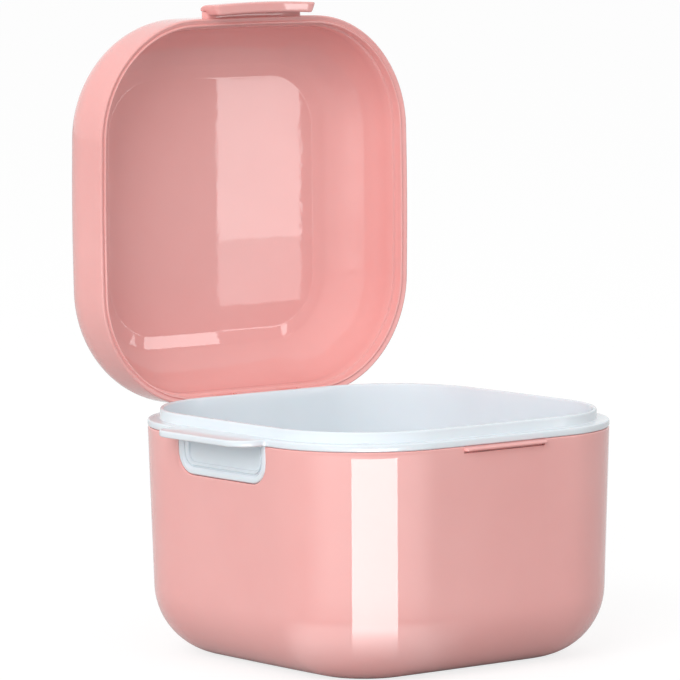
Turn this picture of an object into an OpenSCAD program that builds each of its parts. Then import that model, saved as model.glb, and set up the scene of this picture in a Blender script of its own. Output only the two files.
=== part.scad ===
// Denture case: a square box with soft corners, a white drain basket that lifts out by a tab,
// and a hinged lid with a flexing latch. The lid is drawn standing open on its stop.
// The origin is the centre of the flat bottom. The latch faces -Y and the lifting tab -X.

/* [Case] */
// Width and depth of the case at its rim
case_w = 94.4; // [88:0.2:110]
// Height of the case, up to the basket's flange
case_h = 55.4; // [50:0.1:70]
// Corner radius of the case, seen from above
case_corner_r = 26.6; // [24:0.1:30]
// Radius of the edge between the walls and the bottom
case_fillet = 17.2; // [10:0.1:18]
// How far each wall leans in from the rim to the bottom
case_draft = 1.7; // [0.5:0.1:3]
// Wall thickness of the case
case_wall = 1.8; // [1.4:0.1:2.6]
// Thickness of the case's floor
case_floor_t = 1.8; // [1.4:0.1:3]

/* [Basket] */
// Wall thickness of the basket
basket_wall = 1.4; // [1:0.1:2]
// Thickness of the basket's floor
basket_floor_t = 1.6; // [1.2:0.1:3]
// Gap below the basket, where the liquid drains to
drain_gap = 3; // [1.5:0.5:8]
// Radius of the basket's bottom edge, measured outside
basket_fillet = 13; // [8:0.5:14]
// Thickness of the flange that sits on the case's rim
flange_t = 1.75; // [1.2:0.05:3]
// How far the upright ring stands in from the flange's edge
ring_inset = 2.2; // [2:0.1:3]
// Height of the ring above the flange
ring_h = 2.6; // [2:0.1:5]
// Diameter of a drain hole
drain_d = 4.6; // [3:0.1:7]
// Distance between drain holes
drain_pitch = 10; // [8:0.5:14]
// Drain holes in each row
drain_count = 5; // [3:1:5]

/* [Finger grip] */
// Width of the notch in the case's wall
grip_w = 34; // [28:0.5:38]
// Depth of the notch below the case's rim
grip_h = 9.3; // [8:0.1:16]
// Radius of the notch's lower corners
grip_corner_r = 5.5; // [3:0.1:7]
// Width of the white border round the recess
grip_border = 2.6; // [1.5:0.1:4]
// Width of the step inside the border
grip_step_w = 1.2; // [0.6:0.1:2]
// Depth of the step inside the border
grip_step_d = 0.7; // [0.3:0.1:1.2]
// Length of the lifting tab
tab_w = 35; // [28:0.5:40]
// How far the tab stands out from the case's wall
tab_reach = 7.8; // [5:0.1:12]
// Radius of the tab's outer corners
tab_corner_r = 6; // [2:0.5:7]
// Thickness of the tab
tab_t = 1.6; // [1:0.05:2]

/* [Lid] */
// Height of the lid
lid_h = 20.8; // [18:0.1:32]
// Corner radius of the lid, seen from above
lid_corner_r = 28.6; // [27:0.1:32]
// Radius of the edge between the lid's walls and its top
lid_fillet = 12.8; // [8:0.1:16]
// Width of the rim that stands on the flange
rim_lip = 1.95; // [1.5:0.05:2]
// Wall thickness of the lid above the rim
lid_wall = 2.6; // [2.2:0.1:4]
// Thickness of the lid's top
lid_top_t = 2; // [1.5:0.1:3]
// Radius of the lid's inside edge
lid_inner_fillet = 13; // [8:0.1:14]
// Angle at which the open lid rests on its stop
lid_open_angle = 90; // [80:1:100]

/* [Hinge] */
// Width of the whole hinge
hinge_w = 26; // [20:1:30]
// Width of the lid's knuckle in the middle
lid_knuckle_w = 13; // [8:0.5:14]
// Outer radius of the knuckles
knuckle_r = 1.8; // [1.6:0.05:1.9]
// Radius of the hinge pin
pin_r = 0.8; // [0.6:0.05:1]
// Height of the pin above the flange
pin_rise = 0.4; // [0.3:0.05:1]
// How far the stop block stands out behind the case
stop_reach = 4.6; // [3:0.1:8]
// Height of the stop block below the lid
stop_h = 7; // [4:0.5:12]

/* [Latch] */
// Width of the latch
latch_w = 30; // [28:0.5:36]
// Radius of the latch's corners
latch_corner_r = 1.2; // [0.5:0.1:2]
// Thickness of the latch plate
latch_t = 1.7; // [1:0.1:2.5]
// How far the latch reaches below the lid's rim
latch_drop = 4.4; // [4:0.1:8]
// Height of the latch's root above the lid's rim
root_rise = 0.7; // [0.3:0.1:2]
// Height of the root, where the latch joins the lid
root_h = 3; // [2:0.1:4]
// How far the hook reaches in from the plate
hook_in = 0.85; // [0.7:0.05:1.2]
// Height of the hook
hook_h = 1.3; // [0.8:0.1:1.6]
// Width of the catch bead on the case
bead_w = 25.6; // [18:0.2:27]
// Height of the catch bead
bead_h = 0.95; // [0.6:0.05:1.4]
// How far the catch bead stands out
bead_out = 1.25; // [1:0.05:1.5]

/* [Clearances] */
// Gap between the basket's wall and the case
slide_gap = 0.25; // [0.2:0.05:0.4]
// Gap below the flange, where it rests on the rim
seat_gap = 0.05; // [0.02:0.01:0.2]
// Gap between the lid and the basket's flange or ring
lid_gap = 0.25; // [0.2:0.05:0.4]
// Gap between moving knuckles and what they turn past
knuckle_gap = 0.3; // [0.2:0.05:0.5]
// Running gap round the pin in the lid's knuckle
pin_run = 0.05; // [0.02:0.01:0.1]
// Gap round the pin in the case's knuckles
pin_seat = 0.01; // [0.01:0.01:0.02]
// Gap between the hook and the underside of the catch bead
catch_gap = 0.15; // [0.1:0.05:0.3]
// Gap between the latch plate and the catch bead
plate_gap = 0.45; // [0.3:0.05:0.6]
// Slit between the latch plate and its root on the lid
latch_slit = 0.15; // [0.1:0.05:0.3]

/* [Hidden] */
$fn = 96;
arc_steps = 12;
cut = 1;
pink = [0.93, 0.63, 0.61];
white = [0.93, 0.95, 0.96];
steel = [0.75, 0.75, 0.77];

case_half = case_w / 2;
case_core = case_half - case_corner_r;
lean = atan(case_draft / case_h);
flange_z = case_h + seat_gap;
flange_top = flange_z + flange_t;
ring_top = flange_top + ring_h;
basket_inset = case_wall + slide_gap;
basket_bottom = case_floor_t + drain_gap;
ring_half = case_half - ring_inset;
lid_core = case_half - lid_corner_r;
ring_r = ring_half - lid_core;
cavity_half = min(case_half - basket_inset, ring_half) - basket_wall;
cavity_core = (case_core + lid_core) / 2;
lid_z = flange_top + lid_gap / 2;
lid_top = lid_z + lid_h;
rabbet_h = ring_top + lid_gap - lid_z;
pin_y = case_half;
pin_z = flange_top + pin_rise;
stop_z = pin_z - knuckle_gap;
flange_back = pin_y - pin_rise - knuckle_gap;
case_knuckle_x = lid_knuckle_w / 2 + knuckle_gap;
hinge_half = hinge_w / 2;
grip_bottom = case_h - grip_h;
grip_x = case_half + cut;
latch_in = bead_out + plate_gap;
latch_low = lid_z - latch_drop;
bead_low = latch_low + hook_h + catch_gap;
root_z = lid_z + root_rise;
latch_high = root_z + root_h;

// An arc in small steps, from angle a0 to angle a1
function arc(x, z, r, a0, a1) =
    [for (i = [0 : arc_steps]) let (a = a0 + (a1 - a0) * i / arc_steps) [x + r * cos(a), z + r * sin(a)]];

function reversed(points) = [for (i = [len(points) - 1 : -1 : 0]) points[i]];

// Distance of the case's outer face from the corner's centre line, at height z
function face_x(z) = case_corner_r - case_draft * (1 - z / case_h);

// Edge of a cup that leans as the case does: from the middle of its bottom to the top of its wall
function cup_edge(reach, bottom, top, fillet) =
    let (
        round_r = min(fillet, face_x(bottom) + reach - 1),
        x = face_x(bottom + round_r) + reach - round_r / cos(lean)
    )
    concat([[0, bottom]], arc(x, bottom + round_r, round_r, -90, -lean), [[face_x(top) + reach, top]]);

// Takes a profile round a square with round corners, whose centres lie core from the middle
module sweep_square(core) {
    for (turn = [0 : 90 : 270]) rotate([0, 0, turn]) {
        translate([core, core, 0]) rotate_extrude(angle = 90) children();
        translate([core, core, 0]) rotate([90, 0, 0]) linear_extrude(2 * core) children();
    }
}

module core_block(core, z0, z1) {
    translate([-core, -core, z0]) cube([2 * core, 2 * core, z1 - z0]);
}

// Plate with round corners, from z0 to z1
module soft_plate(half, r, z0, z1) {
    translate([0, 0, z0]) linear_extrude(z1 - z0) {
        square([2 * half, 2 * (half - r)], center = true);
        square([2 * (half - r), 2 * half], center = true);
        for (x = [-1, 1], y = [-1, 1]) translate([x * (half - r), y * (half - r)]) circle(r);
    }
}

// Rectangle from x0 to x1 and y0 to y1 with round corners
module soft_rect(x0, x1, y0, y1, r) {
    translate([x0 + r, y0]) square([x1 - x0 - 2 * r, y1 - y0]);
    translate([x0, y0 + r]) square([x1 - x0, y1 - y0 - 2 * r]);
    for (x = [x0 + r, x1 - r], y = [y0 + r, y1 - r]) translate([x, y]) circle(r);
}

// Cylinder along X from x0 to x1, on the hinge's axis
module hinge_rod(r, x0, x1) {
    translate([x0, pin_y, pin_z]) rotate([0, 90, 0]) cylinder(r = r, h = x1 - x0);
}

// Shape of the finger notch, made smaller by inset, through the wall on the -X side
module grip_shape(inset, x0, x1) {
    translate([x0, 0, 0]) rotate([90, 0, 90]) linear_extrude(x1 - x0)
        soft_rect(-grip_w / 2 + inset, grip_w / 2 - inset, grip_bottom + inset,
            case_h + grip_h, max(grip_corner_r - inset, 0.5));
}

module case_shell() {
    outer = cup_edge(0, 0, case_h, case_fillet);
    inner = cup_edge(-case_wall, case_floor_t, case_h, case_fillet - case_wall);
    sweep_square(case_core) polygon(concat(outer, reversed(inner)));
    core_block(case_core, 0, case_floor_t);
}

module catch_bead() {
    y = -case_half + case_draft * (1 - bead_low / case_h);
    intersection() {
        translate([-bead_w / 2, 0, 0]) rotate([90, 0, 90]) linear_extrude(bead_w)
            polygon([[y + case_wall / 2, bead_low], [-case_half - bead_out, bead_low],
                [-case_half - bead_out, bead_low + bead_h / 2], [y, bead_low + bead_h],
                [y + case_wall / 2, bead_low + bead_h]]);
        translate([0, 0, bead_low - cut]) linear_extrude(bead_h + 2 * cut)
            polygon([[-bead_w / 2, 0], [-bead_w / 2, -case_half], [-bead_w / 2 + bead_out, -case_half - bead_out],
                [bead_w / 2 - bead_out, -case_half - bead_out], [bead_w / 2, -case_half], [bead_w / 2, 0]]);
    }
}

// Block behind the case that carries the outer knuckles and stops the open lid
module hinge_block() {
    wall_y = case_half - case_wall;
    translate([-hinge_half, 0, 0]) rotate([90, 0, 90]) linear_extrude(hinge_w)
        polygon([[wall_y + case_draft * stop_h / case_h, stop_z - stop_h], [case_half, stop_z - stop_h],
            [case_half + stop_reach, stop_z - stop_h / 2], [case_half + stop_reach, stop_z],
            [case_half, stop_z], [case_half, case_h], [wall_y, case_h]]);
    for (side = [-1, 1]) {
        x0 = side > 0 ? case_knuckle_x : -hinge_half;
        w = hinge_half - case_knuckle_x;
        hinge_rod(knuckle_r, x0, x0 + w);
        translate([x0, pin_y - knuckle_r, case_h]) cube([w, 2 * knuckle_r, pin_z - case_h]);
    }
}

module outer_case() {
    color(pink) difference() {
        union() {
            case_shell();
            catch_bead();
            hinge_block();
        }
        grip_shape(0, -grip_x, -case_half + 2 * case_wall);
        hinge_rod(knuckle_r + knuckle_gap, -case_knuckle_x, case_knuckle_x);
        hinge_rod(pin_r + pin_seat, -hinge_half - cut, hinge_half + cut);
    }
}

// Solid outside of the basket, before it is hollowed
module basket_form() {
    edge = cup_edge(-basket_inset, basket_bottom, flange_z, basket_fillet);
    sweep_square(case_core) polygon(concat(edge, [[0, flange_z]]));
    core_block(case_core, basket_bottom, flange_z);
    difference() {
        soft_plate(case_half, case_corner_r, flange_z, flange_top);
        translate([-case_w, flange_back, flange_z - cut]) cube([2 * case_w, case_w, flange_t + 2 * cut]);
        translate([-hinge_half - knuckle_gap, case_half - basket_inset, flange_z - cut])
            cube([hinge_w + 2 * knuckle_gap, case_w, flange_t + 2 * cut]);
    }
    soft_plate(ring_half, ring_r, flange_top, ring_top);
}

module basket_cavity() {
    reach = cavity_half - cavity_core - case_corner_r;
    bottom = basket_bottom + basket_floor_t;
    edge = cup_edge(reach, bottom, ring_top + cut, basket_fillet - basket_wall);
    sweep_square(cavity_core) polygon(concat(edge, [[0, ring_top + cut]]));
    core_block(cavity_core, bottom, ring_top + cut);
}

// White frame that fills the notch, with a stepped recess for the fingertip
module grip_frame() {
    x_face = -case_half;
    x_back = -case_half + basket_inset + basket_wall / 2;
    difference() {
        intersection() {
            grip_shape(slide_gap / 2, -grip_x, x_back);
            translate([x_face + case_draft * (1 - grip_bottom / case_h), -grip_w, grip_bottom])
                cube([case_w, 2 * grip_w, flange_z + flange_t / 2 - grip_bottom]);
        }
        grip_shape(grip_border - grip_step_w, -grip_x, x_face + grip_step_d);
        grip_shape(grip_border, -grip_x, -case_half + basket_inset);
    }
}

module lifting_tab() {
    translate([0, 0, flange_top - tab_t]) linear_extrude(tab_t)
        soft_rect(-case_half - tab_reach, -case_half + ring_inset + tab_corner_r,
            -tab_w / 2, tab_w / 2, tab_corner_r);
}

module drain_holes() {
    first = -(drain_count - 1) / 2 * drain_pitch;
    for (i = [0 : drain_count - 1], j = [0 : drain_count - 1])
        translate([first + i * drain_pitch, first + j * drain_pitch, basket_bottom - cut])
            cylinder(d = drain_d, h = basket_floor_t + 2 * cut, $fn = 32);
}

module drain_basket() {
    color(white) difference() {
        union() {
            basket_form();
            grip_frame();
            lifting_tab();
        }
        basket_cavity();
        drain_holes();
    }
}

// Turns the closed lid about its pin to where it rests open
module opened() {
    translate([0, pin_y, pin_z]) rotate([-lid_open_angle, 0, 0]) translate([0, -pin_y, -pin_z]) children();
}

module lid_shell() {
    r = lid_corner_r;
    round_r = min(lid_fillet, r - 1);
    inner_r = min(lid_inner_fillet, r - lid_wall - 1);
    outer = concat([[r, lid_z]], arc(r - round_r, lid_top - round_r, round_r, 0, 90), [[0, lid_top]]);
    inner = concat([[0, lid_top - lid_top_t]],
        arc(r - lid_wall - inner_r, lid_top - lid_top_t - inner_r, inner_r, 90, 0),
        [[r - lid_wall, lid_z + rabbet_h], [r - rim_lip, lid_z + rabbet_h], [r - rim_lip, lid_z]]);
    sweep_square(lid_core) polygon(concat(outer, inner));
    core_block(lid_core, lid_top - lid_top_t, lid_top);
}

// Slab as wide as the latch: from y outwards by t, and from z0 up to the latch's top
module latch_form(y, t, z0) {
    translate([0, y, 0]) rotate([90, 0, 0]) linear_extrude(t)
        soft_rect(-latch_w / 2, latch_w / 2, z0, latch_high, latch_corner_r);
}

module lid_closed() {
    difference() {
        union() {
            lid_shell();
            hinge_rod(knuckle_r, -lid_knuckle_w / 2, lid_knuckle_w / 2);
            latch_form(-case_half + rim_lip / 2, rim_lip / 2 + latch_in - latch_slit, root_z);
        }
        for (side = [-1, 1]) {
            x0 = side > 0 ? lid_knuckle_w / 2 : -hinge_half - knuckle_gap;
            w = hinge_half + knuckle_gap - lid_knuckle_w / 2;
            translate([x0, case_half - lid_wall - cut, lid_z - cut])
                cube([w, lid_wall + 2 * cut, pin_z + knuckle_r + knuckle_gap - lid_z + cut]);
        }
        hinge_rod(pin_r + pin_run, -lid_knuckle_w, lid_knuckle_w);
    }
}

module lid() {
    color(pink) opened() lid_closed();
}

module latch_closed() {
    latch_form(-case_half - latch_in, latch_t, latch_low);
    translate([-bead_w / 2, -case_half - latch_in - latch_t / 2, latch_low])
        cube([bead_w, latch_t / 2 + hook_in, hook_h]);
}

module latch() {
    color(pink) opened() latch_closed();
}

module hinge_pin() {
    color(steel) hinge_rod(pin_r, -hinge_half, hinge_half);
}

outer_case();
drain_basket();
lid();
latch();
hinge_pin();
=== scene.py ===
# %% [markdown]
# A denture case in three mouldings. The box is glossy pink, a white drain basket hangs in it by a
# flange, and a pink lid with a snap latch stands open behind. A finished engineering model gives
# every size and every hinge. This script dresses it in fine skins over the plain solids, with soft
# edges, slightly bowed walls and real-looking plastic.

# %% Load the frame
from math import asin, atan, atan2, cos, degrees, hypot, pi, radians, sin
import bmesh
import bpy
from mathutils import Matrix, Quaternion, Vector


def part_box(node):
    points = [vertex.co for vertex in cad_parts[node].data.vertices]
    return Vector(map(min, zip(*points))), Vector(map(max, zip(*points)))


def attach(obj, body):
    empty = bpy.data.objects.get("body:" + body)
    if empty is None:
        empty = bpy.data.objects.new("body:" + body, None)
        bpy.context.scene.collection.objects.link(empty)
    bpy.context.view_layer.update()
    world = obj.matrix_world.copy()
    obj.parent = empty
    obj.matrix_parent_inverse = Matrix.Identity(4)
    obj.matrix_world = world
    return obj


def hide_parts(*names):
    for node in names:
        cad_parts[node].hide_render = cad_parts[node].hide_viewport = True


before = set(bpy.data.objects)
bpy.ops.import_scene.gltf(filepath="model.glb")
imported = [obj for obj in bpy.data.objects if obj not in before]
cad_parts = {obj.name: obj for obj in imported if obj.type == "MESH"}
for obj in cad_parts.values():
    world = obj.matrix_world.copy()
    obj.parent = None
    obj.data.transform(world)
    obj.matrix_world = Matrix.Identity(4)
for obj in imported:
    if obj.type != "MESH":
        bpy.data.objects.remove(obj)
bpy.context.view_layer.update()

MM = 0.001

# %% [markdown]
# The camera stands as the photographer stood: low, a little left of the corner between the latch
# face and the face with the lifting tab, and far away with a long lens, so that there is almost no
# perspective. It comes first, because everything is judged through it.

# %% Camera
VIEW_AZIMUTH = radians(-38.22)
VIEW_ELEVATION = radians(5.7206)
VIEW_ROLL = radians(0.369)
VIEW_DISTANCE = 1.2323
VIEW_TARGET = Vector((-0.00706, 0.00555, 0.0760))
LENS_MM = 271.402
SENSOR_MM = 36
CLIP_END = 50


def towards(azimuth, elevation):
    """Unit vector from the object to a place seen at this azimuth and elevation."""
    flat = cos(elevation)
    return Vector((sin(azimuth) * flat, -cos(azimuth) * flat, sin(elevation)))


def placed(name, data):
    """Object of this data at the origin of the scene."""
    thing = bpy.data.objects.new(name, data)
    bpy.context.scene.collection.objects.link(thing)
    return thing


def aimed(thing, middle, way, distance, roll=0.0):
    """Stands a camera or a lamp away from a point, and turns it to look back at that point."""
    thing.location = middle + way * distance
    thing.rotation_mode = "QUATERNION"
    thing.rotation_quaternion = Quaternion(-way, roll) @ (-way).to_track_quat("-Z", "Y")
    return thing


bpy.context.scene.view_settings.view_transform = "Standard"
lens = bpy.data.cameras.new("camera")
lens.lens = LENS_MM
lens.sensor_width = SENSOR_MM
lens.clip_end = CLIP_END
to_camera = towards(VIEW_AZIMUTH, VIEW_ELEVATION)
camera = aimed(placed("camera", lens), VIEW_TARGET, to_camera, VIEW_DISTANCE, VIEW_ROLL)
bpy.context.scene.camera = camera
print("camera at", [round(c, 3) for c in camera.location])

# %% [markdown]
# All shapes are worked out in millimetres, as a mould maker would note them, and turned into metres
# when a mesh is made. Sizes that the frame can tell are measured on its solids, so the skins follow
# if those change. The others are the mould's own details.

# %% Sizes taken from the frame
def measured(solid, axis):
    """Lowest and highest place of a frame solid along an axis, in millimetres."""
    return [round(corner["xyz".index(axis)] / MM, 3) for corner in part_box(solid)]


case_half = measured("outer_case", "x")[1]
pin_y = sum(measured("hinge_pin", "y")) / 2
pin_z = sum(measured("hinge_pin", "z")) / 2
pin_r = measured("hinge_pin", "z")[1] - pin_z
hinge_half = measured("hinge_pin", "x")[1]
basket_bottom, ring_top = measured("drain_basket", "z")
tab_tip = -measured("drain_basket", "x")[0]
lid_top = pin_z + measured("lid", "y")[1] - pin_y
print("case half width", case_half, "pin", pin_y, pin_z, "ring top", ring_top, "lid top", lid_top)

# %% [markdown]
# Moulded walls are never quite vertical. They lean in towards the bottom, so that the box comes off
# its core, and they bulge a little in the middle of each side, because the plastic shrinks. Both
# are rules, so both are functions: one gives the wall's place at a height, one moves any finished
# point outwards.

# %% Rules of the moulded walls
case_h = 55.4
case_corner_r = 26.6
case_draft = 1.7
case_core = case_half - case_corner_r
lean = atan(case_draft / case_h)
BULGE = 0.43
BULGE_STARTS = 26.0
BULGE_FULL = 40.0


def face_r(z):
    """Distance of the case's outer face from the centre line of its corner, at height z."""
    return case_corner_r - case_draft * (1 - z / case_h)


def smooth(share):
    """Share from 0 to 1 that starts and ends gently."""
    share = min(max(share, 0), 1)
    return share * share * (3 - 2 * share)


def bulged(point):
    """Moves a point outwards, most in the middle of a side, but not on the hinge side."""
    reach = hypot(point.x, point.y)
    turn = atan2(point.y, point.x)
    if reach < BULGE_STARTS or abs(turn - pi / 2) < pi / 4:
        return point
    grow = BULGE * cos(2 * turn) ** 2
    grow *= smooth((reach - BULGE_STARTS) / (BULGE_FULL - BULGE_STARTS))
    scale = 1 + grow / reach
    return Vector((point.x * scale, point.y * scale, point.z))


print("wall leans by", round(degrees(lean), 2), "degrees, bulges by", BULGE, "mm")

# %% [markdown]
# The box, the basket, the finger frame and the latch are lofts: rows of points with a skin of quads
# between them. A loft suits a moulding because each row can be written as an outline and a depth,
# as on a drawing. Each flat end is closed by one face.

# %% Loft and finishing helpers
SHARP = radians(38)


def loft(rows, closed=True, caps=True, bulge=True):
    """Skin over rows of points in millimetres; without caps, the last row joins the first."""
    mesh = bmesh.new()
    rings = [[mesh.verts.new((bulged(point) if bulge else point) * MM) for point in row] for row in rows]
    count = len(rings[0])
    for low, high in zip(rings, rings[1:] if caps else rings[1:] + rings[:1]):
        for i in range(count if closed else count - 1):
            j = (i + 1) % count
            mesh.faces.new((low[i], low[j], high[j], high[i]))
    if caps:
        mesh.faces.new(reversed(rings[0]))
        mesh.faces.new(rings[-1])
    return mesh


def loft_along(section, spots, caps=True):
    """Loft of sections along X; the spots (x, *measures) run from one end to the middle."""
    rows = [section(-x, *rest) for x, *rest in spots]
    return loft(rows + [section(x, *rest) for x, *rest in reversed(spots) if round(x, 6)], caps=caps)


def bend(count, start, end):
    """Angles from start to end degrees, in equal steps."""
    return [radians(start + (end - start) * i / count) for i in range(count + 1)]


def arc(x, z, r, count, start, end):
    """Points on a circle about (x, z), from start to end degrees."""
    return [(x + r * cos(a), z + r * sin(a)) for a in bend(count, start, end)]


def rounding(r, count):
    """Quarter round as (way in from the side, way in from the end), from the side to the end."""
    return [(r * (1 - cos(a)), r * (1 - sin(a))) for a in bend(count, 0, 90)]


def add_part(mesh, part):
    """Adds a second closed shell to the mesh, as one moulding has them."""
    spare = bpy.data.meshes.new("spare")
    part.to_mesh(spare)
    part.free()
    mesh.from_mesh(spare)
    bpy.data.meshes.remove(spare)


def bench_object(mesh, name):
    """Object for further work, such as a tool or a pattern to copy."""
    data = bpy.data.meshes.new(name)
    mesh.to_mesh(data)
    mesh.free()
    return placed(name, data)


def reopened(piece):
    """Mesh of a piece, back on the bench; its object goes."""
    mesh = bmesh.new()
    mesh.from_mesh(piece.data)
    bpy.data.objects.remove(piece)
    return mesh


def keep_made(piece):
    """Keeps what the piece's modifier makes as its mesh."""
    graph = bpy.context.evaluated_depsgraph_get()
    made = bpy.data.meshes.new_from_object(piece.evaluated_get(graph))
    piece.modifiers.clear()
    old = piece.data
    piece.data = made
    made.name = piece.name
    bpy.data.meshes.remove(old)


def soften(piece):
    piece.data.shade_smooth()
    piece.data.set_sharp_from_angle(angle=SHARP)


def object_from(mesh, name):
    """Object at the origin, with smooth faces and crisp edges where the shape has them."""
    bmesh.ops.recalc_face_normals(mesh, faces=mesh.faces)
    piece = bench_object(mesh, name)
    soften(piece)
    return piece


def dress(piece, material, slot, body, *nodes):
    """Gives a finished piece its plastic, its body and the frame solids that it stands for."""
    piece.data.materials.clear()
    piece.data.materials.append(material)
    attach(piece, body)
    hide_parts(*nodes)
    print(piece.name, len(piece.data.polygons), "faces")


# %% [markdown]
# The pink plastic is polypropylene or the like from a polished mould, its colour almost even. What
# makes it look moulded is in the gloss: faint waves left by the steel, slightly duller patches, and
# a weak glow where light goes a millimetre into the wall. A flat colour with a shine would look like
# paint, so noise at three scales drives colour, roughness and bump.

# %% Plastic
COLOUR_NOISE = (35, 4)
GLOSS_NOISE = (90, 6)
RIPPLE_NOISE = (260, 2)
RIPPLE_HEIGHT = 0.00002
GLOW = 0.1
GLOW_DEPTH = (0.003, 0.0012, 0.001)


def linear(red, green, blue):
    """Colour as a screen shows it, from 0 to 255, in the linear values that a shader wants."""
    shares = [c / 255 for c in (red, green, blue)]
    return tuple(c / 12.92 if c < 0.04045 else ((c + 0.055) / 1.055) ** 2.4 for c in shares) + (1,)


def feed(tree, made, inputs):
    """Gives each input of a node its value, or links it to the output that feeds it."""
    for key, value in inputs.items():
        if isinstance(value, bpy.types.NodeSocket):
            tree.links.new(value, made.inputs[key])
        else:
            made.inputs[key].default_value = value


def node(tree, kind, inputs, output=0, **settings):
    """Adds a node of the tree's own family; gives its first output, a named one, or the node."""
    made = tree.nodes.new(tree.bl_idname.replace("Tree", kind))
    for name, setting in settings.items():
        setattr(made, name, setting)
    feed(tree, made, inputs)
    return made if output is None else made.outputs[output]


def new_material(name):
    material = bpy.data.materials.new(name)
    material.use_nodes = True
    return material, material.node_tree


def own_place(tree):
    """Place in the object's own space, so that a pattern moves with the piece."""
    return node(tree, "TexCoord", {}, "Object")


def noise(tree, place, scale, detail):
    """Noise of this many waves to the metre."""
    return node(tree, "TexNoise", {"Vector": place, "Scale": scale, "Detail": detail})


def spread(tree, source, low, high):
    """Maps the middle of a noise to a range of values."""
    return node(tree, "MapRange", {
        "Value": source, "From Min": 0.3, "From Max": 0.7, "To Min": low, "To Max": high})


def tint(tree, share, pale, deep):
    return node(tree, "Mix", {"A": pale, "B": deep, "Factor": share}, "Result", data_type="RGBA")


def moulded_plastic(name, pale, deep, roughness, waves):
    """Glossy moulded plastic between two near colours, with a range of roughness."""
    material, tree = new_material(name)
    place = own_place(tree)
    relief = {"Height": noise(tree, place, *RIPPLE_NOISE), "Strength": waves, "Distance": RIPPLE_HEIGHT}
    feed(tree, tree.nodes["Principled BSDF"], {
        "Base Color": tint(tree, spread(tree, noise(tree, place, *COLOUR_NOISE), 0, 1), pale, deep),
        "Roughness": spread(tree, noise(tree, place, *GLOSS_NOISE), *roughness),
        "Normal": node(tree, "Bump", relief),
        "IOR": 1.5, "Subsurface Weight": GLOW, "Subsurface Radius": GLOW_DEPTH, "Subsurface Scale": 1})
    return material


glossy_pink = moulded_plastic("glossy_pink", linear(244, 179, 175), linear(240, 173, 169),
                              roughness=(0.01, 0.03), waves=0.2)
satin_white = moulded_plastic("satin_white", linear(231, 238, 243), linear(225, 233, 239),
                              roughness=(0.13, 0.2), waves=0.3)
print("plastics", glossy_pink.name, satin_white.name)

# %% [markdown]
# The pin is drawn wire, cut to length. It hardly shows, but its ends look out of the hinge, so it
# gets a brushed grey metal whose streaks run along it.

# %% Steel
WIRE_STRETCH = (0.02, 1, 1)
WIRE_NOISE = (6000, 2)
steel, steel_tree = new_material("drawn_wire")
along_wire = node(steel_tree, "Mapping", {"Vector": own_place(steel_tree), "Scale": WIRE_STRETCH})
streaks = noise(steel_tree, along_wire, *WIRE_NOISE)
feed(steel_tree, steel_tree.nodes["Principled BSDF"], {
    "Metallic": 1, "Roughness": spread(steel_tree, streaks, 0.25, 0.45),
    "Base Color": tint(steel_tree, streaks, (0.5, 0.5, 0.52, 1), (0.64, 0.64, 0.66, 1))})
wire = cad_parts["hinge_pin"]
wire.data.materials.clear()
wire.data.materials.append(steel)
print("hinge pin wears", steel.name)

# %% [markdown]
# Every row of a loft needs the same number of points, so they come from a list of stations: which
# of the four sides, how far along its flat, and how far into the corner after it. A row then only
# says how large the square is, how round its corners are and how high it lies. The side with the
# finger notch and the tab has more stations, because its outlines have a shape.

# %% Stations round the box
CORNER_STEPS = 20
FLAT_STEPS = 20
FLOOR_LEAD = 2
QUARTER = pi / 2
TAB_SIDE = 2
HINGE_SIDE = 1


def shares(count):
    """Shares from -1 to 1 in equal steps."""
    return [2 * i / count - 1 for i in range(count + 1)]


def stations_round(tab_stops, hinge_stops):
    """List of (side, number on the tab's side or None, share along the flat, turn into the corner)."""
    found = []
    for side in range(4):
        stops = shares(FLAT_STEPS)
        if side == TAB_SIDE:
            stops = shares(tab_stops)
        if side == HINGE_SIDE:
            stops = hinge_stops
        found += [(side, i if side == TAB_SIDE else None, share, 0.0) for i, share in enumerate(stops)]
        found += [(side, None, 1.0, QUARTER * i / CORNER_STEPS) for i in range(1, CORNER_STEPS)]
    return found


def heading(angle):
    return Vector((cos(angle), sin(angle), 0))


def place(station, core, r, z, along=None):
    """Point of a square whose corner centres lie core from the middle, r outside that core."""
    side, number, share, turn = station
    along = share * core if along is None else along
    centre = heading(side * QUARTER) * core + heading((side + 1) * QUARTER) * along
    return centre + heading(side * QUARTER + turn) * r + Vector((0, 0, z))


def levels(stations, core, profile):
    """Level rows for a profile of (r, z)."""
    return [[place(station, core, r, z) for station in stations] for r, z in profile]


def cup(reach, bottom, fillet, steps=16):
    """Edge of a cup that leans as the case does: (r, z) from its bottom to the end of its bend."""
    x = face_r(bottom + fillet) + reach - fillet / cos(lean)
    return [(x - FLOOR_LEAD, bottom)] + arc(x, bottom + fillet, fillet, steps, -90, -degrees(lean))


print(len(stations_round(FLAT_STEPS, shares(FLAT_STEPS))), "stations round a plain row")

# %% [markdown]
# The rim of the case is level, except on one side, where a notch with round lower corners makes
# room for a fingertip. Half its outline is written, from the rim down the notch's side, round its
# corner and along its bottom, and mirrored. Each point keeps the direction that leads into the
# wall, which later rounds the edge off.

# %% Outline of the finger notch
grip_w = 34.0
grip_bottom = 46.1
grip_h = case_h - grip_bottom
grip_corner_r = 5.5
NOTCH_SIDE_STEPS = 4
NOTCH_CORNER_STEPS = 8
NOTCH_FLOOR_STEPS = 13
RIM_FLAT_STEPS = 3


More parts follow.
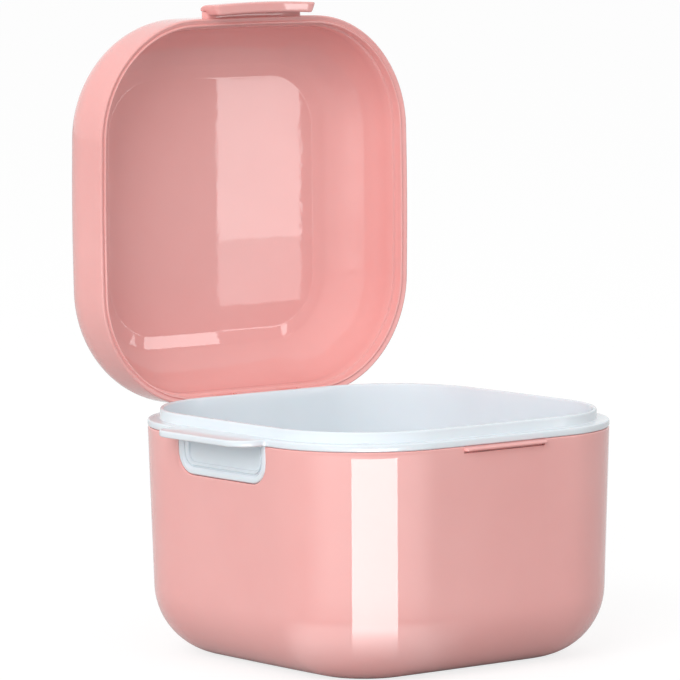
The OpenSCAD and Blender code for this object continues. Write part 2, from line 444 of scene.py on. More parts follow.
def notch_half(inset, top):
    """Left half of the notch, made smaller by inset: (along, z, way into the wall)."""
    half = grip_w / 2 - inset
    low = grip_bottom + inset
    r = grip_corner_r - inset
    side, floor = NOTCH_SIDE_STEPS, NOTCH_FLOOR_STEPS
    path = [(-half, top + (low + r - top) * i / side, (-1, 0)) for i in range(side)]
    for a in bend(NOTCH_CORNER_STEPS, 180, 270):
        path.append((-half + r + r * cos(a), low + r + r * sin(a), (cos(a), sin(a))))
    return path + [(-half + r + (half - r) * i / floor, low, (0, -1)) for i in range(1, floor + 1)]


def mirrored(path):
    """A half path and its mirror image, which share the middle point."""
    return path + [(-along, z, (-way[0], way[1])) for along, z, way in reversed(path[:-1])]


def rim_half():
    """Left half of the rim on the notch's side, from the corner of the case to the middle."""
    reach = case_core - grip_w / 2
    flat = [(-case_core + reach * i / RIM_FLAT_STEPS, case_h, (0, -1)) for i in range(RIM_FLAT_STEPS)]
    notch = notch_half(0, case_h)
    notch[0] = (notch[0][0], notch[0][1], (-1, -1))
    return flat + notch


rim_path = mirrored(rim_half())
print(len(rim_path), "points along the notched rim")

# %% [markdown]
# The case is one loft that runs up the outside, over the rim and down the inside. Below the notch
# its rows are level. Above, they bend gradually into the rim's outline, so the mesh flows round the
# notch. A boolean cut would be quicker, but it leaves a hard edge that can't be rounded cleanly,
# and this edge catches the light in the middle of the picture.

# %% Case shell
case_wall = 1.8
case_floor_t = 1.8
case_fillet = 17.2
RIM_ROUND = 0.35
RIM_STEPS = 4
LEVEL_ROWS = 5
MIX_FROM = 39.0
MIX_SHARES = (0.2, 0.4, 0.6, 0.8, 0.92)
MIX_HASTE = 1.1
case_stations = stations_round(len(rim_path) - 1, shares(FLAT_STEPS))


def rim_row(inset, depth, share=1):
    """Row along the rim, moved into the wall by inset, or with a share below 1 on the way up to it."""
    row = []
    for station in case_stations:
        side, number, level_share, turn = station
        along, z = None, case_h - inset
        if number is not None:
            along, z, way = rim_path[number]
            along, z = along + way[0] * inset, z + way[1] * inset
        if share < 1:
            z = MIX_FROM + (z - MIX_FROM) * share
        if share < 1 and number is not None:
            level_along = level_share * case_core
            along = level_along + (along - level_along) * smooth(share * MIX_HASTE)
        row.append(place(station, case_core, face_r(z) - depth, z, along))
    return row


def case_side(depth, profile):
    """Rows from the floor to just under the rim, on the outside or the inside of the wall."""
    start = profile[-1][1]
    heights = [start + (MIX_FROM - start) * i / LEVEL_ROWS for i in range(1, LEVEL_ROWS + 1)]
    rows = levels(case_stations, case_core, profile + [(face_r(z) - depth, z) for z in heights])
    return rows + [rim_row(RIM_ROUND, depth, share) for share in MIX_SHARES]


outside = case_side(0, cup(0, 0, case_fillet))
inside = case_side(case_wall, cup(-case_wall, case_floor_t, case_fillet - case_wall))
rim_edge = rounding(RIM_ROUND, RIM_STEPS)
rim_rows = [rim_row(inset, depth) for depth, inset in rim_edge]
rim_rows += [rim_row(inset, case_wall - depth) for depth, inset in reversed(rim_edge)]
case_mesh = loft(outside + rim_rows + inside[::-1])
print(len(case_mesh.verts), "points in the case shell")

# %% [markdown]
# Small sharp features are cut the way a milling cutter makes them in the mould: a tool of the right
# form takes its shape out of the finished wall.

# %% Cutting tools
def box_mesh(low, high):
    """Plain block between two corners, without the bulge of the walls."""
    (x0, y0, z0), (x1, y1, z1) = low, high
    corners = [(x0, y0), (x1, y0), (x1, y1), (x0, y1)]
    return loft([[Vector((x, y, z)) for x, y in corners] for z in (z0, z1)], bulge=False)


def cut_away(piece, tool_mesh):
    """Takes the tool's shape out of the piece."""
    bmesh.ops.recalc_face_normals(tool_mesh, faces=tool_mesh.faces)
    tool = bench_object(tool_mesh, "tool")
    cut = piece.modifiers.new("cut", "BOOLEAN")
    cut.operation = "DIFFERENCE"
    cut.solver = "EXACT"
    cut.object = tool
    keep_made(piece)
    bpy.data.objects.remove(tool)
    soften(piece)


print("cutting edges sharper than", round(degrees(SHARP)), "degrees stay crisp")

# %% [markdown]
# The catch bead is a low bar on the latch face, under which the lip of the latch snaps. Its section
# is a small hump with a flat underside that shrinks towards both ends, so it is a loft along X. The
# wall below is cut back a little: the undercut holds the lip, and is the dark line under the bead.

# %% Catch bead
bead_h = 0.95
bead_out = 1.25
bead_low = 54.375
BEAD_HALF = 12.3
BEAD_END = 0.5
BEAD_ROUND = 0.3
BEAD_ROOT = 0.9
BEAD_SPANS = 10
BEAD_HUMP = ((1, 0.45), (0.88, 0.62), (0.55, 0.85), (0, 1))
UNDERCUT_H = 0.55
UNDERCUT_IN = 0.8
bead_wall_y = -(case_core + face_r(bead_low))


def bead_section(x, stand):
    """Section across the bead where it stands out by stand, from below to above."""
    r = min(BEAD_ROUND, stand * 0.45)
    tip = bead_wall_y - stand
    points = [(bead_wall_y + BEAD_ROOT, bead_low), (bead_wall_y, bead_low)]
    points += [(tip + r - r * sin(a), bead_low + r - r * cos(a)) for a in bend(4, 0, 90)]
    points += [(bead_wall_y - stand * out, bead_low + bead_h * up) for out, up in BEAD_HUMP]
    points.append((bead_wall_y + BEAD_ROOT, bead_low + bead_h))
    return [Vector((x, y, z)) for y, z in points]


bead_flat = BEAD_HALF - BEAD_END
bead_spots = [(bead_flat + BEAD_END * cos(a), bead_out * sin(a)) for a in bend(6, 8, 90)]
bead_spots += [(bead_flat - bead_flat * i / BEAD_SPANS, bead_out) for i in range(1, BEAD_SPANS + 1)]
case_blank = object_from(case_mesh, "case_blank")
cut_away(case_blank, box_mesh((-BEAD_HALF, bead_wall_y - BULGE - 1, bead_low - UNDERCUT_H),
                              (BEAD_HALF, bead_wall_y + UNDERCUT_IN, bead_low + 0.2)))
case_mesh = reopened(case_blank)
add_part(case_mesh, loft_along(bead_section, bead_spots))
print(len(case_mesh.verts), "points with the bead")

# %% [markdown]
# Behind the case two knuckles hold the pin. They are alike, so one is made, with its foot and its
# bore, and Geometry Nodes set two of them on a line along the hinge. The lid's single knuckle comes
# from the same tree.

# %% Knuckles by Geometry Nodes
knuckle_r = 1.8
lid_knuckle_w = 13.0
knuckle_gap = 0.3
KNUCKLE_SIDES = 32
EDGE = 0.25
CASE_BORE_PLAY = 0.01


def knuckle(width, bore, foot):
    """Tube along X round the pin, with a square foot that reaches down by foot, or none."""
    def ring(x, r, inset):
        points = []
        for i in range(KNUCKLE_SIDES):
            a = 2 * pi * i / KNUCKLE_SIDES
            y, z = r * cos(a), r * sin(a)
            if foot and r > bore + EDGE and z < 0:
                stretch = 1 / max(abs(cos(a)), abs(sin(a)))
                y, z = y * stretch, z * stretch * (foot - inset) / (knuckle_r - inset)
            points.append(Vector((x, y, z)))
        return points
    half = width / 2
    spots = [(half, bore, 0), (half, knuckle_r - EDGE, EDGE), (half - EDGE, knuckle_r, 0)]
    mesh = loft_along(ring, spots, caps=False)
    bmesh.ops.recalc_face_normals(mesh, faces=mesh.faces)
    return mesh


def new_tree(name, inputs):
    """Geometry node tree with named inputs; gives the tree, its input sockets and identifiers."""
    tree = bpy.data.node_groups.new(name, "GeometryNodeTree")
    tree.interface.new_socket("Geometry", in_out="OUTPUT", socket_type="NodeSocketGeometry")
    keys = {}
    for label, kind in inputs.items():
        socket = tree.interface.new_socket(label, in_out="INPUT", socket_type="NodeSocket" + kind)
        keys[label] = socket.identifier
    return tree, tree.nodes.new("NodeGroupInput").outputs, keys


def end_tree(tree, source, material):
    """Every tree ends with real geometry that wears its plastic."""
    real = node(tree, "RealizeInstances", {"Geometry": source})
    worn = node(tree, "SetMaterial", {"Geometry": real, "Material": material})
    feed(tree, tree.nodes.new("NodeGroupOutput"), {"Geometry": worn})


def object_shape(tree, thing):
    return node(tree, "ObjectInfo", {"Object": thing}, "Geometry")


def copies(tree, points, thing):
    """A copy of an object on every point."""
    return node(tree, "InstanceOnPoints", {"Points": points, "Instance": object_shape(tree, thing)})


def grown(name, tree, keys, values):
    """Runs a tree on an empty object and gives the result as a bmesh."""
    holder = placed(name, bpy.data.meshes.new(name))
    modifier = holder.modifiers.new(name, "NODES")
    modifier.node_group = tree
    for label, value in values.items():
        modifier[keys[label]] = value
    keep_made(holder)
    return reopened(holder)


row_tree, row_in, row_keys = new_tree("row_of_knuckles", {
    "Knuckle": "Object", "Count": "Int", "Spacing": "Vector", "First": "Vector"})
knuckle_line = node(row_tree, "MeshLine", {
    "Count": row_in["Count"], "Offset": row_in["Spacing"], "Start Location": row_in["First"]})
end_tree(row_tree, copies(row_tree, knuckle_line, row_in["Knuckle"]), glossy_pink)


def knuckle_row(name, pattern_mesh, count, spacing):
    """Knuckles about the pin, this far apart, with their middle in the middle of the hinge."""
    pattern = bench_object(pattern_mesh, "knuckle_pattern")
    first = (-spacing / 2 * (count - 1) * MM, pin_y * MM, pin_z * MM)
    mesh = grown(name, row_tree, row_keys, {
        "Knuckle": pattern, "Count": count, "Spacing": (spacing * MM, 0, 0), "First": first})
    bpy.data.objects.remove(pattern)
    return mesh


case_knuckle_x = lid_knuckle_w / 2 + knuckle_gap
case_knuckle = knuckle(hinge_half - case_knuckle_x, pin_r + CASE_BORE_PLAY, pin_z - case_h)
add_part(case_mesh, knuckle_row("case_knuckles", case_knuckle, 2, hinge_half + case_knuckle_x))
print(len(case_mesh.verts), "points with the knuckles")

# %% [markdown]
# The stop block is a wedge along the hinge. Its flat top carries the open lid, and its underside
# slopes back to the wall so that it leaves the mould. Its outline is drawn once, each corner is
# rounded by a short arc, and it is lofted along X with small roundings at both ends.

# %% Stop block
stop_reach = 4.6
stop_h = 7.0
stop_z = pin_z - knuckle_gap
BLOCK_ROUND = 0.5
BLOCK_ENDS = ((0, 0.4), (0.12, 0.12), (0.4, 0))


def eased(before, here, after, radius, steps):
    """Short smooth arc that cuts the corner at here."""
    before, here, after = Vector(before), Vector(here), Vector(after)
    start = here + (before - here).normalized() * radius
    end = here + (after - here).normalized() * radius
    times = [step / steps for step in range(steps + 1)]
    return [start * (1 - t) ** 2 + here * 2 * t * (1 - t) + end * t ** 2 for t in times]


def shrunk(points, amount):
    """Outline drawn in towards its middle by about this amount."""
    middle = sum(points, Vector((0, 0))) / len(points)
    size = max((point - middle).length for point in points)
    return [middle + (point - middle) * (1 - amount / size) for point in points]


block_back = case_half - case_wall + 0.2
block_corners = [(block_back, stop_z - stop_h), (case_half, stop_z - stop_h),
                 (case_half + stop_reach, stop_z - stop_h / 2), (case_half + stop_reach, stop_z),
                 (case_half, stop_z), (case_half, case_h), (block_back, case_h)]
block = []
for i, corner in enumerate(block_corners):
    after = block_corners[(i + 1) % len(block_corners)]
    block += eased(block_corners[i - 1], corner, after, BLOCK_ROUND, 4)


def block_row(x, inset):
    return [Vector((x, y, z)) for y, z in shrunk(block, inset)]


block_spots = [(hinge_half - way_in, inset) for way_in, inset in BLOCK_ENDS]
add_part(case_mesh, loft_along(block_row, block_spots))
case_skin = object_from(case_mesh, "case_shell")
dress(case_skin, glossy_pink, "pink_plastic", "case", "outer_case")

# %% [markdown]
# The flange of the basket lies on the rim and grows into the lifting tab on one side. Seen from
# above this is one outline: a square with round corners, a small hollow on each side of the tab,
# and the tab's own round corners. The hinge side is cut back to clear the lid's knuckle.

# %% Outline of the flange and the tab
flange_z = 55.45
flange_top = 57.2
tab_w = 35.0
tab_corner_r = 6.0
tab_t = 1.6
TAB_ROOT_R = 1.0
TAB_FLAT_STEPS = 3
TAB_TIP_STEPS = 12
flange_back = 46.5
hinge_notch = hinge_half + 0.3
hinge_notch_y = 45.15
NOTCH_EDGE = 0.002
SHORTEST_TURN = 0.6


def tab_half():
    """Left half of the outline on the tab's side: (along, distance from the middle, on the tab)."""
    root = case_half + TAB_ROOT_R
    edge = -tab_w / 2
    flat_end = edge - TAB_ROOT_R
    reach = case_core + flat_end
    path = [(-case_core + reach * i / TAB_FLAT_STEPS, case_half, 0.0) for i in range(TAB_FLAT_STEPS)]
    path += [(*spot, i / 3) for i, spot in enumerate(arc(flat_end, root, TAB_ROOT_R, 3, 270, 360))]
    corner = tab_tip - tab_corner_r
    path.append((edge, (root + corner) / 2, 1.0))
    tip_start = edge + tab_corner_r
    path += [(*spot, 1.0) for spot in arc(tip_start, corner, tab_corner_r, 8, 180, 90)]
    steps = TAB_TIP_STEPS
    return path + [(tip_start - tip_start * i / steps, tab_tip, 1.0) for i in range(1, steps + 1)]


tab_path = tab_half()
tab_path += [(-along, away, on) for along, away, on in reversed(tab_path[:-1])]
notch_share = hinge_notch / case_core
notch_stops = [side * (notch_share + step) for side in (-1, 1) for step in (-NOTCH_EDGE, NOTCH_EDGE)]
basket_stations = stations_round(len(tab_path) - 1, sorted(shares(FLAT_STEPS) + notch_stops))


def held_back(point, margin):
    """Keeps a point of the flange clear of the hinge."""
    limit = hinge_notch_y if abs(point.x) < hinge_notch else flange_back
    point.y = min(point.y, limit - margin)
    return point


def flange_outline():
    points = []
    for station in basket_stations:
        if station[1] is not None:
            along, away, on = tab_path[station[1]]
            points.append(place(station, 0, away, 0, along))
        else:
            points.append(held_back(place(station, case_core, case_corner_r, 0), 0))
    return points


def ways_in(points):
    """At each point of a closed outline, the way in, long enough to keep the inset even."""
    ways = []
    for i, here in enumerate(points):
        before = (here - points[i - 1]).normalized()
        after = (points[(i + 1) % len(points)] - here).normalized()
        normals = [Vector((-v.y, v.x, 0)) for v in (before, after)]
        way = (normals[0] + normals[1]).normalized()
        ways.append(way / max(way.dot(normals[0]), SHORTEST_TURN))
    return ways


outline = flange_outline()
inward = ways_in(outline)
print(len(outline), "points round the flange; tab tip at", round(min(p.x for p in outline), 2))

# %% [markdown]
# The basket is a single loft as well: up the outside of the cup, out under the flange, round the
# flange's edge, back over its top, up and over the low ring that guides the lid, and down inside to
# the floor. One mesh for one moulding keeps the soft corners between ring and flange continuous.

# %% Basket
basket_inset = 2.05
basket_fillet = 13.0
basket_wall = 1.4
basket_floor_t = 1.6
ring_half = 45.0
ring_core = 18.6
cavity_core = 19.6
cavity_reach = -2.6
FLANGE_ROUND = 0.45
NOTCH_ROUND = 0.08
RING_ROUND = 0.5
RING_FOOT = 0.3
RING_MARGIN = 0.12
CUP_HEIGHTS = (22, 27, 32, 37, 42, 46, 50, 53, 55, flange_z)
CAVITY_HEIGHTS = (57, 54, 50, 46, 41, 36, 31, 26, 22)


def flange_row(inset, z, tab_rise=0):
    """Row round the flange's edge at height z, and higher by tab_rise on the tab."""
    row = []
    for station, point, way in zip(basket_stations, outline, inward):
        side, number, share, turn = station
        on_tab = 0.0 if number is None else tab_path[number][2]
        near_hinge = side == HINGE_SIDE and abs(point.x) < hinge_notch + 0.2
        moved = point + way * (min(inset, NOTCH_ROUND) if near_hinge else inset)
        row.append(Vector((moved.x, moved.y, z + tab_rise * on_tab)))
    return row


def cavity(z, out=0):
    return face_r(z) + cavity_reach + out, z


ring_r = ring_half - ring_core
ring_edge = rounding(RING_ROUND, 5)
flange_edge = rounding(FLANGE_ROUND, 5)
outer = cup(-basket_inset, basket_bottom, basket_fillet)
outer += [(face_r(z) - basket_inset, z) for z in CUP_HEIGHTS]
foot = [(ring_r + out, flange_top + up) for out, up in reversed(rounding(RING_FOOT, 3))]
ring = [(ring_r - way_in, ring_top - down) for way_in, down in ring_edge]
inner = [cavity(ring_top - down, out) for out, down in reversed(ring_edge)]
inner += [cavity(z) for z in CAVITY_HEIGHTS]
inner += cup(cavity_reach, basket_bottom + basket_floor_t, basket_fillet - basket_wall, 14)[::-1]
rows = levels(basket_stations, case_core, outer)
rows += [flange_row(inset, flange_z + up, flange_top - tab_t - flange_z) for up, inset in flange_edge]
rows += [flange_row(inset, flange_top - down) for down, inset in reversed(flange_edge)]
for row in levels(basket_stations, ring_core, foot):
    rows.append([held_back(point, RING_MARGIN) for point in row])
rows += levels(basket_stations, ring_core, ring) + levels(basket_stations, cavity_core, inner)
basket_mesh = loft(rows)
print(len(basket_mesh.verts), "points in the basket")

# %% [markdown]
# Liquid drains through holes in the basket's floor. They sit on a square grid, so Geometry Nodes
# set one drill on every point of a grid, and a single boolean cuts them all. The drill is wider at
# the floor's two faces, which leaves each hole a small rounded lip, as the mould's pins do.

# %% Drain holes
drain_r = 2.3
drain_pitch = 10.0
drain_count = 5
LIP = 0.3
DRILL_SIDES = 24


def drill():
    low, high = basket_bottom, basket_bottom + basket_floor_t
    profile = [(drain_r + LIP, low - 1), (drain_r + LIP, low), (drain_r + LIP * 0.3, low + LIP * 0.3),
               (drain_r, low + LIP), (drain_r, high - LIP), (drain_r + LIP * 0.3, high - LIP * 0.3),
               (drain_r + LIP, high), (drain_r + LIP, high + 1)]
    turns = [2 * pi * i / DRILL_SIDES for i in range(DRILL_SIDES)]
    return loft([[Vector((r * cos(a), r * sin(a), z)) for a in turns] for r, z in profile])


grid_tree, grid_in, grid_keys = new_tree("drain_grid", {
    "Drill": "Object", "Holes a side": "Int", "Size": "Float"})
holes, size = grid_in["Holes a side"], grid_in["Size"]
drill_grid = node(grid_tree, "MeshGrid", {
    "Size X": size, "Size Y": size, "Vertices X": holes, "Vertices Y": holes})
end_tree(grid_tree, copies(grid_tree, drill_grid, grid_in["Drill"]), satin_white)

drill_pattern = bench_object(drill(), "drill")
drill_mesh = grown("drills", grid_tree, grid_keys, {
    "Drill": drill_pattern, "Holes a side": drain_count, "Size": (drain_count - 1) * drain_pitch * MM})
bpy.data.objects.remove(drill_pattern)
basket = object_from(basket_mesh, "drain_basket_skin")
cut_away(basket, drill_mesh)
print(len(basket.data.polygons), "faces in the drained basket")

# %% [markdown]
# Where the finger goes under the tab, a white frame fills the notch in the pink wall, flush with it.
# From its border it falls over a bevel into a narrow groove, and over a second bevel into a recess
# that is scooped out towards the top. These are nested outlines at different depths, so the frame
# is a loft of the notch's own outline, made smaller and moved in or out from row to row. The bevels
# and the groove are what catches the light here.

# %% Finger frame
grip_gap = 0.125
FRAME_SINK = 0.06
FRAME_BACK = 2.75
RECESS = 1.9
SCOOP = 0.95
CRISP = 0.1
FRAME_TOP = flange_z + 0.8
BORDER = [(0, FRAME_BACK), (0, 0.3), (0.3, 0), (1.25, 0)]
GROOVE = [(1.8, 0.55), (1.85, 1.0), (2.2, 1.0), (2.25, 0.45)]
INNER_BEVEL = [(2.4, 0.4), (2.95, 0.95), (3.0, RECESS)]
tab_station = (TAB_SIDE, 0, -1.0, 0.0)


def softened(points, radius):
    """Open path of (inset, depth) pairs with its inner corners rounded."""
    path = [Vector(points[0])]
    for before, here, after in zip(points, points[1:], points[2:]):
        path += eased(before, here, after, radius, 3)
    return path + [Vector(points[-1])]


def frame_row(inset, depth):
    row = []
    for along, z, way in mirrored(notch_half(grip_gap + inset, FRAME_TOP)):
        rise = SCOOP * (FRAME_TOP - z) / grip_h if depth > RECESS - 0.1 else 0
        away = case_core + face_r(z) - FRAME_SINK - depth + rise
        row.append(place(tab_station, 0, away, z, along))
    return row


frame_rows = [frame_row(inset, depth) for inset, depth in softened(BORDER + GROOVE + INNER_BEVEL, CRISP)]
frame_mesh = loft(frame_rows, closed=False)
width = len(frame_rows[0])
points = list(frame_mesh.verts)
frame_mesh.faces.new(points[::width] + points[width - 1::width][::-1])
finger_frame = object_from(frame_mesh, "finger_frame")
for piece in (basket, finger_frame):
    dress(piece, satin_white, "white_plastic", "basket", "drain_basket")

# %% [markdown]
# The lid follows one rule: a section, taken round a square with round corners. The section holds
# everything, from the flat roof over the large round edge to the rim, whose face steps up in a slope
# to a small inner lip, and the rabbet inside. Geometry Nodes sweep it along the path, so the lid's
# width, corner and section can be changed without touching a vertex.

# %% Lid by Geometry Nodes
lid_z = 57.325
lid_path_half = 34.4
lid_path_r = 15.8
lid_out = case_half - lid_path_half
lid_fillet = 12.8
rim_lip = 1.95
lid_wall = 2.6
rabbet_z = 60.05
lid_top_t = 2.0
lid_inner_fillet = 13.0
ROOF_EDGE = 3
LID_RIM_ROUND = 0.4
RIM_STEP = ((0.46, 0.02), (0.5, 0.05), (1.22, 0.5), (1.28, 0.52), (1.34, 0.48), (1.42, 0.28), (1.55, 0.18),
            (1.72, 0.19), (1.86, 0.28), (1.93, 0.42), (1.95, 0.62))
RABBET_OUTER = ((0, -0.2), (-0.06, -0.06), (-0.2, 0))
RABBET_INNER = ((0.3, 0), (0.09, 0.09), (0, 0.3))
PANEL_TURN = 75
FACET = (0.06, 0.94, 1)
PATH_CORNER_STEPS = 40
PATH_POINTS = 240


def lid_section():
    """Closed lid's section as (way out from the path, z), from the roof outside to the roof inside."""
    bend_z = lid_top - lid_fillet
    x = lid_out - lid_fillet
    points = [(x - ROOF_EDGE, lid_top)] + arc(x, bend_z, lid_fillet, 18, 90, 0)
    points += [(lid_out, bend_z - 2.5), (lid_out, lid_z + 3)]
    r = LID_RIM_ROUND
    points += arc(lid_out - r, lid_z + r, r, 5, 0, -90)
    points += [(lid_out - away, lid_z + rise) for away, rise in RIM_STEP]
    points += [(lid_out - rim_lip + out, rabbet_z + up) for out, up in RABBET_OUTER]
    inner = lid_out - lid_wall
    points += [(inner + out, rabbet_z + up) for out, up in RABBET_INNER]
    r = lid_inner_fillet
    z_roof = lid_top - lid_top_t
    x = inner - r
    points += arc(x, z_roof - r, r, 16, 0, PANEL_TURN)
    x_arc, z_arc = points[-1]
    points += [(x_arc + (x - x_arc) * t, z_arc + (z_roof - z_arc) * t) for t in FACET]
    return points + [(x - 0.2, z_roof), (x - ROOF_EDGE, z_roof)]


def section_curve(points):
    """Curve object of the section; across the path is X, and up is -Y, as the sweep turns it."""
    curve = bpy.data.curves.new("lid_section", "CURVE")
    curve.dimensions = "3D"
    spline = curve.splines.new("POLY")
    spline.points.add(len(points) - 1)
    for slot, (x, z) in zip(spline.points, points):
        slot.co = (x * MM, -z * MM, 0, 1)
    return placed("lid_section", curve)


sweep_tree, sweep_in, sweep_keys = new_tree("lid_sweep", {
    "Width": "Float", "Corner radius": "Float", "Corner steps": "Int", "Points": "Int", "Section": "Object"})
square = node(sweep_tree, "CurvePrimitiveQuadrilateral", {
    "Width": sweep_in["Width"], "Height": sweep_in["Width"]})
rounded = node(sweep_tree, "FilletCurve", {
    "Curve": square, "Radius": sweep_in["Corner radius"], "Count": sweep_in["Corner steps"]}, mode="POLY")
even = node(sweep_tree, "ResampleCurve", {"Curve": rounded, "Count": sweep_in["Points"]})
swept = node(sweep_tree, "CurveToMesh", {
    "Curve": even, "Profile Curve": object_shape(sweep_tree, sweep_in["Section"])})
end_tree(sweep_tree, swept, glossy_pink)

section = section_curve(lid_section())
lid_mesh = grown("lid", sweep_tree, sweep_keys, {
    "Width": 2 * lid_path_half * MM, "Corner radius": lid_path_r * MM, "Corner steps": PATH_CORNER_STEPS,
    "Points": PATH_POINTS, "Section": section})
bpy.data.objects.remove(section)
print(len(lid_mesh.verts), "points swept, up to z", round(max(v.co.z for v in lid_mesh.verts) / MM, 2))

# %% [markdown]
# The sweep leaves the roof open, inside and outside, so two flat faces close it. Then the walls get
# their bulge, and the lid its knuckle. Two pockets in the back of the rim make room for the knuckles
# of the case. All this happens with the lid shut, where the sizes are easy to read. Later it is
# turned about the pin to where it rests open.

# %% Lid's hinge and its turn
LID_BORE_PLAY = 0.05
pocket_top = pin_z + knuckle_r + knuckle_gap
pocket_in = case_half - lid_wall - 1


def opened(mesh):
    """Turns a closed mesh about the pin by a quarter turn, to where the lid rests."""
    for vert in mesh.verts:
        y, z = vert.co.y - pin_y * MM, vert.co.z - pin_z * MM
        vert.co.y, vert.co.z = pin_y * MM + z, pin_z * MM - y


def pocket(start, end):
    return box_mesh((start, pocket_in, lid_z - 1), (end, case_half + 1, pocket_top))


open_edges = [edge for edge in lid_mesh.edges if edge.is_boundary]
bmesh.ops.holes_fill(lid_mesh, edges=open_edges)
for vert in lid_mesh.verts:
    vert.co = bulged(vert.co / MM) * MM
shut_lid = object_from(lid_mesh, "shut_lid")
pockets = pocket(lid_knuckle_w / 2, hinge_notch)
add_part(pockets, pocket(-hinge_notch, -lid_knuckle_w / 2))
cut_away(shut_lid, pockets)
lid_work = reopened(shut_lid)
lid_knuckle = knuckle(lid_knuckle_w, pin_r + LID_BORE_PLAY, 0)
add_part(lid_work, knuckle_row("lid_knuckle", lid_knuckle, 1, 0))
print(len(lid_work.verts), "points in the lid with its knuckle")

# %% [markdown]
# The latch is a springy plate that hangs from a root on the lid's front wall and snaps under the
# bead. It is a loft along X, because its section tells all: the lip along its lower edge, the bed
# for the bead, and the long slope of its upper edge, a patch of light on the open lid. Cheeks close
# the bed at both ends, and the corners are round as seen from the front. The root is a plain slab,
# lofted through its thickness. Both bow with the wall.

# %% Latch
latch_w = 30.0
latch_corner_r = 1.2
latch_in = 1.7
latch_t = 1.7
hook_in = 0.85
latch_low_z = lid_z - 4.4
latch_step_z = latch_low_z + 1.3
latch_bed_z = 55.75
root_z = lid_z + 0.7
latch_high_z = root_z + 3.0
SLAB_ROUND = 0.45
LIP_BEND = 0.6
BACK_BEND = 4.0
END_BEND = 0.35
END_TAPER = 0.027
CHEEK_FROM = 13.0
CHEEK_EDGE = 0.02
LATCH_BOW = 0.3
LATCH_SPANS = 10
ROOT_HALF = 14.7
ROOT_DROP = 0.25
ROOT_SPANS = 14
latch_half = latch_w / 2 + 0.45
bed_low_z = root_z - 0.15


def latch_row(x, cut, sink):
    """Section of the latch at x; cut shortens it along Z, and sink makes it thinner."""
    near, far = latch_in + sink, latch_in + latch_t - sink
    tip = latch_in - hook_in + sink
    low, high = latch_low_z + cut, latch_high_z - cut
    bed = tip if abs(x) > CHEEK_FROM else near
    bank = tip + (bed - tip) * 0.15
    path = [(far - out, low + up) for out, up in rounding(SLAB_ROUND, 4)]
    path += [(far - SLAB_ROUND - 0.04, low), (tip + LIP_BEND + 0.04, low)]
    path += [(tip + out, low + up) for up, out in rounding(LIP_BEND, 5)]
    path += [(tip, latch_step_z - 0.1), (bank, latch_step_z), (bed, latch_step_z + 0.02)]
    path += [(bed, latch_bed_z - 0.02), (bank, latch_bed_z), (tip, latch_bed_z + 0.1)]
    path += [(tip, bed_low_z - 0.1), (tip + 0.1, bed_low_z), (near, bed_low_z)]
    path += [(near, high - 0.1), (near + 0.1, high)]
    wide = far - near - 0.1
    path += [(near + 0.1 + wide * sin(a), high - BACK_BEND * (1 - cos(a))) for a in bend(9, 10, 90)]
    return [Vector((x * (1 - END_TAPER * (far - away)), -case_half - away, z)) for away, z in path]


def latch_spots():
    """Places along the latch, from its eased end to its middle: (x, cut, sink)."""
    r = latch_corner_r
    spots = [(latch_half, r, END_BEND), (latch_half - 0.03, r * 0.8, END_BEND * 0.5)]
    for a in bend(6, 15, 90):
        cut = 1 - sin(a)
        spots.append((latch_half - r * (1 - cos(a)), r * cut, END_BEND * 0.3 * cut))
    spots += [(CHEEK_FROM + CHEEK_EDGE, 0, 0), (CHEEK_FROM - CHEEK_EDGE, 0, 0)]
    return spots + [(CHEEK_FROM * (1 - i / LATCH_SPANS), 0, 0) for i in range(1, LATCH_SPANS + 1)]


def root_row(away, inset):
    """Rectangle with round corners, counter-clockwise as seen from the front."""
    r = max(latch_corner_r - inset, 0.05)
    right = ROOT_HALF - inset - r
    low, high = root_z + inset + r, latch_high_z - ROOT_DROP - inset - r
    points = []
    for x, z, start in ((-right, low, 180), (right, low, 270), (right, high, 0), (-right, high, 90)):
        points += arc(x, z, r, 5, start, start + 90)
        if start in (180, 0):
            edge = z - r if start == 180 else z + r
            points += [(x - 2 * x * i / ROOT_SPANS, edge) for i in range(1, ROOT_SPANS)]
    return [Vector((x, -case_half - away, z)) for x, z in points]


def root_form():
    """Slab that starts in the lid's wall and ends just before the latch."""
    rows = [root_row(-rim_lip / 2 + depth, inset) for depth, inset in rounding(0.1, 4)]
    end = [root_row(latch_in - 0.02 - depth, inset) for depth, inset in rounding(0.05, 4)]
    return loft(rows + end[::-1])


def bowed(mesh):
    """Gives latch and root the slight bow of the walls."""
    for vert in mesh.verts:
        vert.co.y -= LATCH_BOW * (1 - (vert.co.x / MM * 2 / latch_w) ** 2) * MM
    return mesh


latch_mesh = bowed(loft_along(latch_row, latch_spots()))
opened(latch_mesh)
latch_skin = object_from(latch_mesh, "snap_latch")
dress(latch_skin, glossy_pink, "pink_plastic", "latch", "latch")
add_part(lid_work, bowed(root_form()))
opened(lid_work)
lid_skin = object_from(lid_work, "lid_shell_open")
dress(lid_skin, glossy_pink, "pink_plastic", "lid", "lid")

# %% [markdown]
# The photograph is a cut-out on white. The world and the floor look white to the camera and to
# mirror-like reflections, and light the object at a plain level, at which a colour comes out about
# as it is written. The floor mixes a glow with a little diffuse white, so that it still shows the
# soft shadow of the box.

# %% Floor and world
FLOOR_HALF = 12.0
BOUNCE = 0.47
MIRRORED_LIT, MIRRORED_GLOW = 0.85, 0.05
SEEN_LIT, SEEN_GLOW = 0.25, 0.8
SKY_LIGHT = 0.72
SKY_SEEN = 1.0
world = bpy.data.worlds.new("studio")
bpy.context.scene.world = world
world.use_nodes = True
sky_tree = world.node_tree


def reckon(tree, operation, first, second):
    return node(tree, "Math", {0: first, 1: second}, operation=operation)


